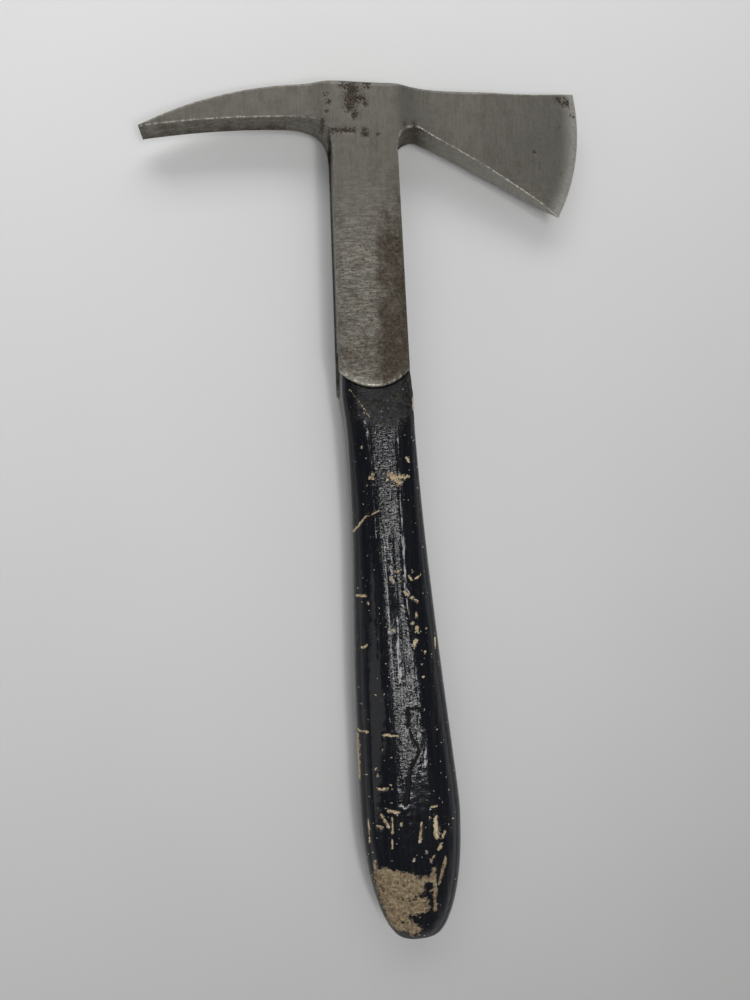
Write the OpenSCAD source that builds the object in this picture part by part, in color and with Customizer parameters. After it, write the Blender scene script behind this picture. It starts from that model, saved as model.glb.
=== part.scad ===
// Fireman's belt axe, lying on its rear side.
// One forged head with pick, blade and two long straps, riveted to a black wooden haft.
// X runs from the pick to the blade, Y along the straps towards the top of the head, Z up.

/* [Head] */
// Length of the head from the pick's tip to the cutting edge
head_l = 209.5; // [195:0.5:220]
// Share of the head's length on the pick's side of the straps' centreline
pick_share = 0.487; // [0.47:0.001:0.5]
// Thickness of the head across its two cheeks
head_t = 25; // [24.5:0.1:25.6]
// Height of the head's top edge above the place where the straps leave it
head_top = 22.5; // [21:0.5:24]
// Height of the blade's upper corner above the same place
toe_y = 25; // [24.5:0.1:26]
// Half the width of the flat cheek over the eye
cheek_x = 17.5; // [16.5:0.5:18.5]
// Chamfer along the cheeks' top edges
crown_chamfer = 1.6; // [1:0.1:2.4]

/* [Pick] */
// Thickness of the pick
pick_t = 12.8; // [11:0.2:14]
// Height of the pick's tip
pick_tip_y = 3.6; // [2:0.2:6]
// Depth of the pick's blunt tip
pick_tip_h = 0.8; // [0.4:0.1:1.5]

/* [Blade] */
// Thickness of the blade before it tapers
blade_t = 11.8; // [11:0.2:13]
// Thickness of the blade where the ground bevel starts
bevel_t = 2.6; // [2:0.1:3.2]
// Width of the ground bevel along the cutting edge
bevel_w = 4; // [3:0.5:6]
// Width of the flat left on the cutting edge
edge_land = 0.3; // [0.2:0.05:0.5]
// Radius of the cutting edge
edge_r = 91; // [85:1:98]
// Height of the furthest point of the cutting edge
edge_mid_y = 9; // [6:0.5:12]
// Height of the blade's lower corner
heel_y = -36; // [-38:0.5:-33]

/* [Straps] */
// Thickness of each strap
strap_t = 3; // [2.5:0.1:3.5]
// Distance from the head down to the start of the front strap's round end
strap_l = 110; // [105:1:115]
// Extra length of the rear strap
rear_extra = 9; // [4:0.5:12]
// Radius of the straps' round ends
strap_end_r = 21; // [20:0.5:24]

/* [Haft] */
// Length of the whole axe along its straps
axe_l = 401; // [398:1:404]
// Greatest thickness of the haft, at its swell
haft_t = 26; // [26:0.1:27]
// Width of the haft at its swell
swell_w = 48; // [46:0.5:50]
// Distance from the butt up to the swell's widest place
swell_up = 61; // [58:1:64]
// Width of the flat on the butt
butt_w = 18; // [14:0.5:22]
// Thickness of the flat on the butt
butt_t = 15; // [12:0.5:18]
// Squareness of the haft's oval section at the swell
swell_power = 2.5; // [2:0.1:3]
// Squareness of its section beside the straps
neck_power = 6; // [4:0.5:8]
// Width of the haft inside the eye
eye_w = 27; // [25:0.5:28]

/* [Rivets and wedges] */
// Diameter of the rivets' shanks
rivet_d = 4.2; // [4:0.1:4.5]
// Diameter of the rivets' flush heads
rivet_head_d = 5.2; // [5:0.1:6]
// Depth of the rivets' countersunk heads
rivet_head_h = 1; // [0.6:0.1:1.5]
// Distance from the head down to the first rivet
rivet_first = 42.5; // [38:0.5:46]
// Spacing of the rivets
rivet_pitch = 25; // [22:0.5:28]
// Offset of the rivets from the straps' centreline, towards the blade
rivet_offset = -1.5; // [-2.5:0.5:2.5]
// Thickness of the wooden wedge at its top
wedge_t = 4; // [3:0.2:5]
// Thickness of the steel wedges at their tops
steel_wedge_t = 2.2; // [1.6:0.2:3]

/* [Hidden] */
$fn = 96;

curve_steps = 12;
pick_x = -head_l * pick_share;
edge_x = head_l * (1 - pick_share);
edge_centre = [edge_x - edge_r, edge_mid_y];
butt_y = toe_y - axe_l;
tongue_t = head_t - 2 * strap_t;
past = 30;

// Where the pick's curved back and belly level out
pick_back_x = -29;
pick_back_r = 148;
belly_start = [-36, 8.8];
// Where the blade's top edge starts to rise, and the hollow of its lower edge
toe_rise_x = 60;
heel_bow = 1.4;
// Reach of the hollows that join the thick eye to the pick and to the blade
pick_hollow_l = 6.5;
blade_hollow_l = 9.2;
taper_x = 55;
// Height at which the head's outline meets the straps' sides
neck_y = -8;

// Straps' sides at the neck and at the start of the round end: [left, right]
strap_top_x = [-15.4, 15.3];
strap_low_x = [-17.3, 15.8];

tongue_sink = 0.5;
eye_depth = head_top - tongue_sink;
tongue_inset = 0.6;
tongue_low_y = -105;
wedge_l = 18;
wedge_tip_t = 0.8;
steel_wedge_w = 12;
steel_wedge_l = 14;
steel_wedge_x = 7;
steel_tip_t = 0.6;

// Haft stations from the straps' ends to the swell:
// [y, centre x, half width, half thickness, squareness]
haft_half_t = haft_t / 2;
swell_x = 7;
swell_y = butt_y + swell_up;
GRIP_STATIONS = [
    [-100, 0, 15.5, 12, neck_power],
    [-120, 0.5, 17, 12, neck_power],
    [-140, 1.5, 16.5, 12, 4.5],
    [-185, 3, 17.5, 12, 3],
    [-250, 4.5, 21, 12.5, swell_power],
    [-290, 6, 23, haft_half_t, swell_power],
    [swell_y, swell_x, swell_w / 2, haft_half_t, swell_power]
];

// Round of the butt from the swell to its flat end, rounder seen from the front than from the side
butt_steps = 7;
butt_lean = 1;
front_round = 2.2;
side_round = 4.5;
end_round = 0.6;
function rounded(u, round) = pow(1 - pow(u, round), end_round);
BUTT_STATIONS = [
    for (i = [1 : butt_steps])
        let (u = sin(90 * i / butt_steps))
        [
            swell_y + (butt_y - swell_y) * u,
            swell_x + butt_lean * u,
            butt_w / 2 + (swell_w - butt_w) / 2 * rounded(u, front_round),
            butt_t / 2 + (haft_t - butt_t) / 2 * rounded(u, side_round),
            swell_power
        ]
];
STATIONS = concat(GRIP_STATIONS, BUTT_STATIONS);
rings_per_station = 3;
ring_points = 32;

// The axe is drawn about the straps' root, then set down with its box over the origin
module placed() {
    translate([-(pick_x + edge_x) / 2, -(toe_y + butt_y) / 2, haft_half_t]) children();
}

// Points along a cubic Bezier curve
function bezier(a, b, c, d) = [
    for (i = [0 : curve_steps])
        let (t = i / curve_steps, s = 1 - t)
        pow(s, 3) * a + 3 * s * s * t * b + 3 * s * t * t * c + pow(t, 3) * d
];

// Drop of a circle of radius r below its crown at a distance d from it
function sag(r, d) = r - sqrt(r * r - d * d);

// Pick from its tip to the level top edge, along the back
function pick_back() = [
    for (i = [0 : curve_steps])
        let (x = pick_x + (pick_back_x - pick_x) * i / curve_steps)
        let (drop = sag(pick_back_r, pick_back_x - x) / sag(pick_back_r, pick_back_x - pick_x))
        [x, head_top - drop * (head_top - pick_tip_y - pick_tip_h)]
];

// Pick's belly from the strap side out to the tip
function pick_belly() = [
    for (i = [0 : curve_steps])
        let (t = i / curve_steps, x = belly_start[0], y = belly_start[1])
        [x + (pick_x - x) * t, y - (y - pick_tip_y) * t * t]
];

// Place on the cutting edge at height y
function edge_at(y) = [edge_centre[0] + sqrt(pow(edge_r, 2) - pow(y - edge_mid_y, 2)), y];

// Blade's top edge, rising in a hollow curve to the upper corner
toe = edge_at(toe_y);
function toe_rise() = [
    for (i = [0 : curve_steps])
        let (t = i / curve_steps)
        [toe_rise_x + (toe[0] - toe_rise_x) * t, head_top + (toe_y - head_top) * t * t]
];

// Blade's lower edge from a little past the lower corner up to the hollow beside the strap
heel = edge_at(heel_y);
hollow = [27, 3.4];
heel_past = 0.08;
function heel_edge() = concat(
    [heel + (heel - hollow) * heel_past],
    [
        for (i = [0 : curve_steps])
            let (t = i / curve_steps)
            heel + (hollow - heel) * t + [0, 4 * heel_bow * t * (1 - t)]
    ]
);

// Side view of the pick, eye and blade
module head_outline() {
    polygon(concat(
        pick_back(),
        toe_rise(),
        [[edge_x + 2, toe_y]],
        heel_edge(),
        bezier(hollow, [22, 4.8], [15.6, 1.5], [strap_top_x[1], neck_y]),
        bezier([strap_top_x[0], neck_y], [strap_top_x[0], 7], [-20, 8], belly_start),
        pick_belly()
    ));
}

// Half thickness of the head at a distance x from the straps' centreline, beyond the cheek
function hollow_h(x, far_t, reach) = far_t / 2 + (head_t - far_t) / 2 * exp(-(x - cheek_x) / reach);

// Seen from the top: pick, eye and tapering blade
module head_plan() {
    blade_side = [
        for (x = [cheek_x : 3 : taper_x]) [x, hollow_h(x, blade_t, blade_hollow_l)]
    ];
    pick_side = [
        for (x = [cheek_x : 3 : taper_x]) [-x, hollow_h(x, pick_t, pick_hollow_l)]
    ];
    far_side = [
        [taper_x + 2, hollow_h(taper_x + 2, blade_t, blade_hollow_l)],
        [edge_x - bevel_w, bevel_t / 2],
        [edge_x + past, bevel_t / 2 - 0.2]
    ];
    half = concat(
        [[pick_x - 1, pick_t / 2 - 0.2]],
        [for (i = [len(pick_side) - 1 : -1 : 0]) pick_side[i]],
        blade_side,
        far_side
    );
    polygon(concat(half, [for (i = [len(half) - 1 : -1 : 0]) [half[i][0], -half[i][1]]]));
}

// Cuts the round cutting edge and the bevels ground on both its sides
module edge_cutter() {
    depth = blade_t / 2 + 2;
    slope = (bevel_t - edge_land) / 2 / bevel_w;
    run = (depth - edge_land / 2) / slope;
    translate([edge_centre[0], edge_centre[1], 0]) rotate([0, 0, -50])
        rotate_extrude(angle = 100, $fn = 180) polygon([
            [edge_r - run, depth], [edge_r, edge_land / 2], [edge_r, -edge_land / 2],
            [edge_r - run, -depth], [edge_r + past, -depth], [edge_r + past, depth]
        ]);
}

// Chamfers the top edges of both cheeks
module crown_cutter() {
    edge_z = head_t / 2;
    for (side = [0, 1]) mirror([0, 0, side]) rotate([90, 0, 90])
        linear_extrude(height = 2 * past, center = true) polygon([
            [head_top - crown_chamfer, edge_z],
            [head_top + crown_chamfer, edge_z - 2 * crown_chamfer],
            [head_top + crown_chamfer, edge_z + crown_chamfer],
            [head_top - crown_chamfer, edge_z + crown_chamfer]
        ]);
}

// Outline of a strap whose straight sides end at a distance l below the head
module strap_outline(l) {
    half = (strap_low_x[1] - strap_low_x[0]) / 2;
    mid = (strap_low_x[1] + strap_low_x[0]) / 2;
    sweep = asin(half / strap_end_r);
    end_y = -l + strap_end_r * cos(sweep);
    polygon(concat(
        [[strap_top_x[1], 0], [strap_top_x[0], 0]],
        [
            for (i = [0 : curve_steps])
                let (a = -90 - sweep + 2 * sweep * i / curve_steps)
                [mid + strap_end_r * cos(a), end_y + strap_end_r * sin(a)]
        ]
    ));
}

// A strap's plate from its inner face outwards: side is 0 for the front strap and 1 for the rear
module strap_plate(side, thickness) {
    mirror([0, 0, side]) translate([0, 0, tongue_t / 2]) linear_extrude(height = thickness)
        strap_outline(strap_l + side * rear_extra);
}

// One rivet: straight shank with a flush countersunk head at both ends
module rivet_shape() {
    cylinder(d = rivet_d, h = head_t, center = true);
    for (side = [0, 1]) mirror([0, 0, side]) translate([0, 0, head_t / 2 - rivet_head_h])
        cylinder(d1 = rivet_d, d2 = rivet_head_d, h = rivet_head_h);
}

// Straps' centreline at a distance d below the head
function strap_mid(d) =
    (strap_top_x[0] + strap_top_x[1]) / 2
    + d / strap_l * (strap_low_x[0] + strap_low_x[1] - strap_top_x[0] - strap_top_x[1]) / 2;

module rivet_at(number) {
    d = rivet_first + number * rivet_pitch;
    translate([strap_mid(d) + rivet_offset, -d, 0]) rivet_shape();
}

module all_rivets() {
    for (number = [0 : 2]) rivet_at(number);
}

module axe_head() {
    color([0.47, 0.46, 0.44]) placed() difference() {
        union() {
            intersection() {
                linear_extrude(height = head_t, center = true) head_outline();
                translate([0, past, 0]) rotate([90, 0, 0]) linear_extrude(height = 3 * past) head_plan();
            }
            for (side = [0, 1]) strap_plate(side, strap_t);
        }
        edge_cutter();
        crown_cutter();
        // Eye, open at the top, and the gap between the straps, open at the sides
        translate([-eye_w / 2, -1, -tongue_t / 2]) cube([eye_w, past, tongue_t]);
        translate([-past, -past, -tongue_t / 2]) cube([2 * past, past, tongue_t]);
        all_rivets();
    }
}

// Value at t between b and c on a smooth curve through four stations
function smooth(a, b, c, d, t) =
    b + 0.5 * t * (c - a + t * (2 * a - 5 * b + 4 * c - d + t * (3 * (b - c) + d - a)));

function station(i) = STATIONS[min(max(i, 0), len(STATIONS) - 1)];

function round_power(value, power) = sign(value) * pow(abs(value), 2 / power);

// Oval ring of the haft at a station
function haft_ring(s) = [
    for (i = [0 : ring_points - 1])
        let (a = 360 * i / ring_points, half_t = min(s[3], haft_half_t))
        [s[1] + s[2] * round_power(cos(a), s[4]), s[0], half_t * round_power(sin(a), s[4])]
];

module grip() {
    last = (len(STATIONS) - 1) * rings_per_station;
    rings = [
        for (k = [0 : last])
            let (i = floor(k / rings_per_station), t = k / rings_per_station - i)
            haft_ring(smooth(station(i - 1), station(i), station(i + 1), station(i + 2), t))
    ];
    points = [for (ring = rings) each ring];
    top_cap = [for (i = [0 : ring_points - 1]) i];
    butt_cap = [for (i = [ring_points - 1 : -1 : 0]) last * ring_points + i];
    sides = [
        for (k = [0 : last - 1]) for (i = [0 : ring_points - 1])
            let (a = k * ring_points + i, b = k * ring_points + (i + 1) % ring_points)
            [a, a + ring_points, b + ring_points, b]
    ];
    polyhedron(points, concat([top_cap], sides, [butt_cap]));
}

// Flat tongue between the straps, a little narrower than they are
module tongue() {
    linear_extrude(height = tongue_t, center = true) polygon([
        [strap_top_x[0] + tongue_inset, 0], [strap_low_x[0] + tongue_inset, tongue_low_y],
        [strap_low_x[1] - tongue_inset, tongue_low_y], [strap_top_x[1] - tongue_inset, 0]
    ]);
    translate([-eye_w / 2, -1, -tongue_t / 2]) cube([eye_w, eye_depth + 1, tongue_t]);
}

// Wedge with its thick end at the top, t thick in Z and w wide in X
module wedge_shape(w, l, t, tip) {
    translate([-w / 2, eye_depth, 0]) rotate([90, 0, 90]) linear_extrude(height = w)
        polygon([[0, t / 2], [-l, tip / 2], [-l, -tip / 2], [0, -t / 2]]);
}

module wooden_wedge_shape() {
    wedge_shape(eye_w, wedge_l, wedge_t, wedge_tip_t);
}

module steel_wedge_shape(x) {
    translate([x, 0, 0]) rotate([0, 90, 0])
        wedge_shape(steel_wedge_w, steel_wedge_l, steel_wedge_t, steel_tip_t);
}

module haft() {
    color([0.07, 0.07, 0.09]) placed() difference() {
        union() {
            difference() {
                grip();
                for (side = [0, 1]) strap_plate(side, 2 * strap_t);
            }
            tongue();
        }
        all_rivets();
        wooden_wedge_shape();
        steel_wedge_shape(-steel_wedge_x);
        steel_wedge_shape(steel_wedge_x);
    }
}

module haft_wedge() {
    color([0.62, 0.45, 0.27]) placed() difference() {
        wooden_wedge_shape();
        steel_wedge_shape(-steel_wedge_x);
        steel_wedge_shape(steel_wedge_x);
    }
}

module steel_wedge(x) {
    color([0.35, 0.3, 0.27]) placed() steel_wedge_shape(x);
}

module rivet(number) {
    color([0.5, 0.49, 0.46]) placed() rivet_at(number);
}

axe_head();
haft();
haft_wedge();
steel_wedge(-steel_wedge_x);  // left_steel_wedge
steel_wedge(steel_wedge_x);  // right_steel_wedge
rivet(0);  // upper_rivet
rivet(1);  // middle_rivet
rivet(2);  // lower_rivet
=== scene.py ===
"""Fireman's belt axe: detailed head, haft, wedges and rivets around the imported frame.

Shapes are worked out in millimetres about the straps' root, the point on the straps'
centreline, midway through the head's thickness, where the straps leave the head.
"""
import math

import bmesh
import bpy
import numpy as np
from mathutils import Matrix, Vector, kdtree, noise
from mathutils.geometry import delaunay_2d_cdt


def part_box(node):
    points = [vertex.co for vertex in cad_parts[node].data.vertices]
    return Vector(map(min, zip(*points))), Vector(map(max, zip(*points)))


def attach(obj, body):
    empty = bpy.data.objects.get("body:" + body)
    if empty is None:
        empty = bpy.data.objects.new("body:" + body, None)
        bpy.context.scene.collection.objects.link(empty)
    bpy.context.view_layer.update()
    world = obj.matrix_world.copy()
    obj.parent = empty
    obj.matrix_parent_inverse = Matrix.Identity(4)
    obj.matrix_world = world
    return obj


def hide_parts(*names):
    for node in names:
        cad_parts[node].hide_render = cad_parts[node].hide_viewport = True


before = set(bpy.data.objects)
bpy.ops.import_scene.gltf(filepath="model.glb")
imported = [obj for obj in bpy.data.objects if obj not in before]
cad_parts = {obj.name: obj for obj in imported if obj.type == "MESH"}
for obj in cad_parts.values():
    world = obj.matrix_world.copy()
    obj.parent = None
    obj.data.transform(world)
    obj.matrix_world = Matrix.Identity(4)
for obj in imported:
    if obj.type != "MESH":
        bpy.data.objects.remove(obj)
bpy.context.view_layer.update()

MM = 0.001
HEAD_LO, HEAD_HI = (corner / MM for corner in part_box("axe_head"))
HAFT_LO, HAFT_HI = (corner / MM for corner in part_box("haft"))

# ---------------------------------------------------------------- driving sizes, in millimetres

PICK_SHARE = 0.487
TOE_Y = 25.0
HEAD_TOP = 22.5
HEAD_L = HEAD_HI.x - HEAD_LO.x
HALF_T = (HEAD_HI.z - HEAD_LO.z) / 2
ROOT = Vector((HEAD_LO.x + PICK_SHARE * HEAD_L, HEAD_HI.y - TOE_Y, (HEAD_LO.z + HEAD_HI.z) / 2))
PICK_X = HEAD_LO.x - ROOT.x
EDGE_X = HEAD_HI.x - ROOT.x
BUTT_Y = HAFT_LO.y - ROOT.y
STRAP_T = 3.0
INNER_Z = HALF_T - STRAP_T

CHEEK_X = 17.5
CHEEK_BLEND = 2.0
EYE_HALF = 13.5
EDGE_R = 91.0
EDGE_CENTRE = np.array([EDGE_X - EDGE_R, 9.0])
EDGE_LAND = 0.3
BEVEL_W = 4.0
BEVEL_H = 1.3
BEVEL_BLEND = 0.12
GROUND_W = 6.5
TAPER_X = 57.0
PICK_HALF_T = 6.4
PICK_FADE = 6.5
BLADE_HALF_T = 5.9
BLADE_FADE = 9.2
HEEL_Y = -36.0
PICK_TIP = (3.6, 4.4)
PICK_BACK_X = -29.0
PICK_BACK_R = 148.0
STRAP_TOP_X = (-15.4, 15.3)
STRAP_LOW_X = (-17.3, 15.8)
STRAP_L = (110.0, 119.0)
STRAP_END_R = 21.0
STRAP_HALF_W = 16.5
STRAP_CROWN = 0.28
NECK_Y = -8.0
SLOT_Y = -1.0
RIVETS_Y = (-42.5, -67.5, -92.5)
RIVET_R = 2.6
RIVET_OFFSET = -1.5
# Heights of the wall vertices beside the eye and the straps
EYE_LEVELS = (INNER_Z, 4.5, 0, -4.5, -INNER_Z)


def to_frame(points):
    """Points about the straps' root, in millimetres, as metres in the shared frame."""
    return (np.asarray(points, float) + np.array(ROOT)) * MM


def strap_mid(y):
    """Straps' centreline at a height y."""
    down = np.clip(-y / STRAP_L[0], 0, 1)
    return (1 - down) * sum(STRAP_TOP_X) / 2 + down * sum(STRAP_LOW_X) / 2


RIVETS = [(strap_mid(y) + RIVET_OFFSET, y) for y in RIVETS_Y]


# ---------------------------------------------------------------- mesh helpers

def spaced(points, step):
    """A polyline resampled at an even spacing, with its ends kept."""
    points = np.asarray(points, float)
    runs = np.hypot(*np.diff(points, axis=0).T)
    along = np.concatenate([[0], np.cumsum(runs)])
    count = max(1, round(along[-1] / step))
    at = np.linspace(0, along[-1], count + 1)
    return np.column_stack([np.interp(at, along, points[:, i]) for i in range(2)])


def bezier(a, b, c, d, steps=40):
    """Points along a cubic curve from a to d, drawn towards b and c."""
    t = np.linspace(0, 1, steps + 1)[:, None]
    a, b, c, d = (np.array(p, float) for p in (a, b, c, d))
    return (1 - t) ** 3 * a + 3 * (1 - t) ** 2 * t * b + 3 * (1 - t) * t ** 2 * c + t ** 3 * d


def segment_gap(x, y, a, b):
    """Distance from points to the line between a and b."""
    ax, ay = a
    dx, dy = b[0] - ax, b[1] - ay
    t = np.clip(((x - ax) * dx + (y - ay) * dy) / (dx * dx + dy * dy), 0, 1)
    return np.hypot(x - ax - t * dx, y - ay - t * dy)


def path_gap(x, y, path):
    """Distance from points to an open path."""
    return np.min([segment_gap(x, y, a, b) for a, b in zip(path[:-1], path[1:])], axis=0)


def depth_inside(x, y, outline):
    """Distance from points to a closed outline, positive inside it."""
    closed = [tuple(p) for p in outline] + [tuple(outline[0])]
    gap = path_gap(x, y, closed)
    inside = np.zeros(len(x), bool)
    for (ax, ay), (bx, by) in zip(closed[:-1], closed[1:]):
        crosses = (ay > y) != (by > y)
        inside ^= crosses & (x < ax + (y - ay) / (by - ay if by != ay else 1) * (bx - ax))
    return np.where(inside, gap, -gap)


def fractal(x, y, z, scale, octaves=3, seed=0.0):
    """Smooth noise from about -1 to 1 at a point in millimetres."""
    p = Vector((x / scale + seed, y / scale - seed, z / scale + 2 * seed))
    return noise.fractal(p, 1.0, 2.0, octaves)


def make_object(name, vertices, faces, material, attributes=()):
    """A smooth-shaded mesh object from millimetre vertices, with named vertex values."""
    mesh = bpy.data.meshes.new(name)
    mesh.from_pydata(to_frame(vertices).tolist(), [], [tuple(map(int, face)) for face in faces])
    shape = bmesh.new()
    shape.from_mesh(mesh)
    bmesh.ops.recalc_face_normals(shape, faces=shape.faces)
    shape.to_mesh(mesh)
    shape.free()
    mesh.polygons.foreach_set("use_smooth", [True] * len(mesh.polygons))
    mesh.set_sharp_from_angle(angle=math.radians(40))
    for key, values in dict(attributes).items():
        layer = mesh.attributes.new(key, "FLOAT", "POINT")
        layer.data.foreach_set("value", np.asarray(values, dtype=np.float32))
    mesh.materials.append(material)
    piece = bpy.data.objects.new(name, mesh)
    bpy.context.scene.collection.objects.link(piece)
    return piece


# ---------------------------------------------------------------- head: outline and thickness

def head_outline(side):
    """Clockwise loop round the head and one strap (0 front, 1 rear), with its arrises' radii and brightness,
    worn and partly a painted highlight.
    """
    sag = PICK_BACK_R - np.sqrt(PICK_BACK_R ** 2 - (PICK_BACK_X - PICK_X) ** 2)
    x = np.linspace(PICK_X, PICK_BACK_X, 60)
    drop = (PICK_BACK_R - np.sqrt(PICK_BACK_R ** 2 - (PICK_BACK_X - x) ** 2)) / sag
    back = np.column_stack([x, HEAD_TOP - drop * (HEAD_TOP - PICK_TIP[1])])

    def on_edge(y):
        return np.array([EDGE_CENTRE[0] + math.sqrt(EDGE_R ** 2 - (y - EDGE_CENTRE[1]) ** 2), y])

    toe, heel = on_edge(TOE_Y), on_edge(HEEL_Y)
    t = np.linspace(0, 1, 40)
    toe_rise_x = 60.0
    rise = np.column_stack([toe_rise_x + (toe[0] - toe_rise_x) * t, HEAD_TOP + (TOE_Y - HEAD_TOP) * t ** 2])
    a0, a1 = (math.atan2(*(p - EDGE_CENTRE)[::-1]) for p in (toe, heel))
    angle = np.linspace(a0, a1, 120)
    edge = EDGE_CENTRE + EDGE_R * np.column_stack([np.cos(angle), np.sin(angle)])
    hollow = np.array([27.0, 3.4])
    heel_bow = 1.4
    lower = heel + (hollow - heel) * t[:, None] + np.column_stack([0 * t, 4 * heel_bow * t * (1 - t)])
    right_neck = bezier(hollow, (22, 4.8), (15.6, 1.5), (STRAP_TOP_X[1], NECK_Y))
    belly_x, belly_y = -36, 8.8
    left_neck = bezier((STRAP_TOP_X[0], NECK_Y), (STRAP_TOP_X[0], 7), (-20, 8), (belly_x, belly_y))
    belly = np.column_stack([belly_x + (PICK_X - belly_x) * t, belly_y - (belly_y - PICK_TIP[0]) * t ** 2])

    half = (STRAP_LOW_X[1] - STRAP_LOW_X[0]) / 2
    sweep = math.asin(half / STRAP_END_R)
    centre = (sum(STRAP_LOW_X) / 2, -STRAP_L[side] + STRAP_END_R * math.cos(sweep))
    angle = np.linspace(sweep, -sweep, 50) - math.pi / 2
    end = np.column_stack([centre[0] + STRAP_END_R * np.cos(angle), centre[1] + STRAP_END_R * np.sin(angle)])

    # Each stretch with the radius and the brightness of its arris, worn and partly a painted highlight
    left_top, eye_left, eye_right = (-CHEEK_X, HEAD_TOP), (-EYE_HALF, HEAD_TOP), (EYE_HALF, HEAD_TOP)
    stretches = [
        (back, 0.8, 0.25), ([back[-1], left_top], 1.2, 0.2), ([left_top, eye_left], 2, 0.1),
        ([eye_left, eye_right], 2.2, 0.1), ([eye_right, rise[0]], 1.4, 0.15), (rise, 0.7, 0.3),
        (edge, 0.06, 0.8), (lower, 0.35, 0.6), (right_neck, 0.8, 0.5), ([right_neck[-1], end[0]], 0.8, 0.2),
        (end, 1.2, 1), ([end[-1], left_neck[0]], 0.9, 0.12), (left_neck, 0.9, 0.2), (belly, 0.45, 0.5),
        ([belly[-1], back[0]], 0.4, 0.5),
    ]
    loop, radii, arris_wear_and_highlight = [], [], []
    for points, radius, brightness in stretches:
        run = spaced(points, GRID)[:-1]
        loop.append(run)
        radii += [radius] * len(run)
        arris_wear_and_highlight += [brightness] * len(run)
    loop = np.vstack(loop)
    # The back rises in one gentle arch over the eye
    arch_x, arch_reach, arch_rise = -26, 32, 1.3
    arch = arch_rise * np.exp(-((loop[:, 0] - arch_x) / arch_reach) ** 2)
    loop[:, 1] += np.where(loop[:, 1] > 10, arch, 0)
    radii = np.minimum(smoothed(np.array(radii), 6), 0.8 * head_height(*loop.T))
    radii = np.minimum(radii, 0.2 + 0.3 * (loop[:, 0] - PICK_X))
    return loop, radii, smoothed(np.array(arris_wear_and_highlight), 3)


def smoothed(values, reach):
    """A closed run of numbers averaged over its neighbours."""
    total = sum(np.roll(values, shift) for shift in range(-reach, reach + 1))
    return total / (2 * reach + 1)


def inward(loop):
    """Unit normals pointing into a clockwise loop, shorter at very sharp corners."""
    step = np.roll(loop, -1, axis=0) - loop
    step /= np.hypot(*step.T)[:, None]
    normal = np.column_stack([step[:, 1], -step[:, 0]])
    mean = normal + np.roll(normal, 1, axis=0)
    mean /= np.maximum(np.hypot(*mean.T), 0.3)[:, None]
    return mean


def head_height(x, y):
    """Half thickness of the head before its arrises are rounded."""
    out = CHEEK_BLEND * np.log1p(np.exp((np.abs(x) - CHEEK_X) / CHEEK_BLEND))
    pick = PICK_HALF_T + (HALF_T - PICK_HALF_T) * np.exp(-out / PICK_FADE)
    blade = BLADE_HALF_T + (HALF_T - BLADE_HALF_T) * np.exp(-out / BLADE_FADE)
    start = BLADE_HALF_T + (HALF_T - BLADE_HALF_T) * math.exp(-(TAPER_X - CHEEK_X) / BLADE_FADE)
    run = np.clip((x - TAPER_X) / (EDGE_X - BEVEL_W - TAPER_X), 0, 1.4)
    blade = np.where(x > TAPER_X, start + (BEVEL_H - start) * run, blade)
    height = np.where(x < 0, pick, blade)
    radius = np.hypot(x - EDGE_CENTRE[0], y - EDGE_CENTRE[1])
    slope = (BEVEL_H - EDGE_LAND / 2) / BEVEL_W
    bevel = EDGE_LAND / 2 + np.maximum(EDGE_R - radius, 0) * slope
    softened = -BEVEL_BLEND * np.log(np.exp(-height / BEVEL_BLEND) + np.exp(-bevel / BEVEL_BLEND))
    height = np.where(x > TAPER_X, np.maximum(softened, EDGE_LAND / 2), height)
    # Each strap has a low crown along its middle
    across = np.abs(x - strap_mid(y)) / STRAP_HALF_W
    in_strap = np.clip((-12 - y) / 20, 0, 1) * (across < 1.2)
    return height - in_strap * STRAP_CROWN * (np.sqrt(across ** 2 + 0.03) - 0.173)


def head_relief(x, y, side):
    """Hammer and grinding unevenness, rust pits and nicks, in millimetres, dying away at the rivets."""
    relief = 0.07 * fractal(x, y, side * 90, 14, 2) + 0.025 * fractal(x, y, side * 70, 4, 2, 3.1)
    for px, py, reach, depth in PITS[side]:
        near = math.exp(-((x - px) ** 2 + (y - py) ** 2) / reach ** 2)
        if near > 0.02:
            relief -= depth * near * (0.5 + max(0, fractal(x, y, 5, 1.6, 3, 7.7)) * 1.6)
    nearest = min(math.hypot(x - rx, y - ry) for rx, ry in RIVETS)
    return relief * min(1, max(0, (nearest - RIVET_R - 0.6) / 2))


# Rust pits and nicks on each side: x, y, reach, depth
PITS = (
    [(-5, 19, 3.5, 0.2), (-5, 15, 3.5, 0.2), (-6, 11, 3, 0.2), (-4, 7, 2, 0.2), (-1, 15, 2, 0.2),
     (1, 12, 1.5, 0.2), (2, 21, 2.5, 0.15), (-9, 21, 3, 0.1), (-17, 17, 1.5, 0.15), (-16, 13, 1.5, 0.15),
     (-17, 9, 1, 0.15), (-19, 5, 1.5, 0.15), (0, -1, 2, 0.2), (6, -2, 1, 0.15), (84, -5, 1, 0.2),
     (98, 21, 2, 0.15), (102, 20, 2.5, 0.2), (105, 14, 1.5, 0.15), (31, 4, 1.5, 0.1)]
    + [(x, 0, 1.4, 0.2) for x in range(-17, -3, 2)] + [(12, y, 0.8, 0.2) for y in (-50, -53, -56)],
    [(4, 10, 4.5, 0.15), (-9, -20, 3, 0.1), (40, 12, 3, 0.1), (70, -6, 4, 0.1), (-50, 14, 3, 0.1),
     (6, -75, 5, 0.1), (97, 8, 3, 0.1)],
)
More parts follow.
